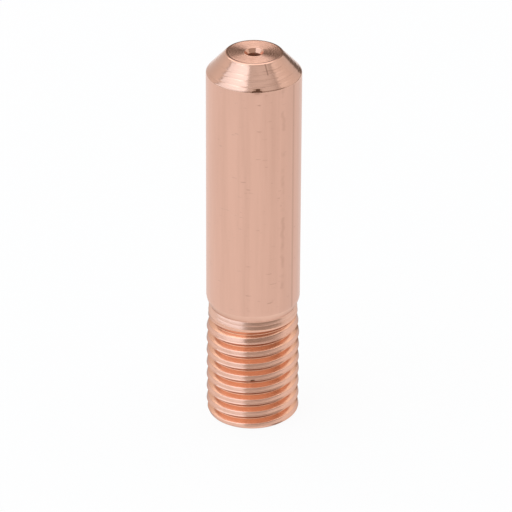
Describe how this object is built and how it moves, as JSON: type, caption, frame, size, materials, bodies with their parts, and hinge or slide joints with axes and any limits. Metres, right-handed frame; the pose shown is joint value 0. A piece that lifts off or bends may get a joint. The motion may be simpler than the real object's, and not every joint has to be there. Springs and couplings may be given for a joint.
{
  "type": "welding contact tip",
  "caption": "Round copper contact tip with a blunt cone nose, a wire bore along its axis and a rolled screw thread that fastens it in the torch's tip holder.",
  "frame": {"origin": "centre of the threaded end face, on the bore's axis", "axes": "+Z along the bore's axis from the threaded end to the nose"},
  "size_m": [0.0064, 0.0064, 0.027],
  "materials": {
    "copper": "satin drawn copper, turned nose, rolled thread"
  },
  "bodies": {
    "root": {"contact_tip": "copper"}
  },
  "joints": []
}
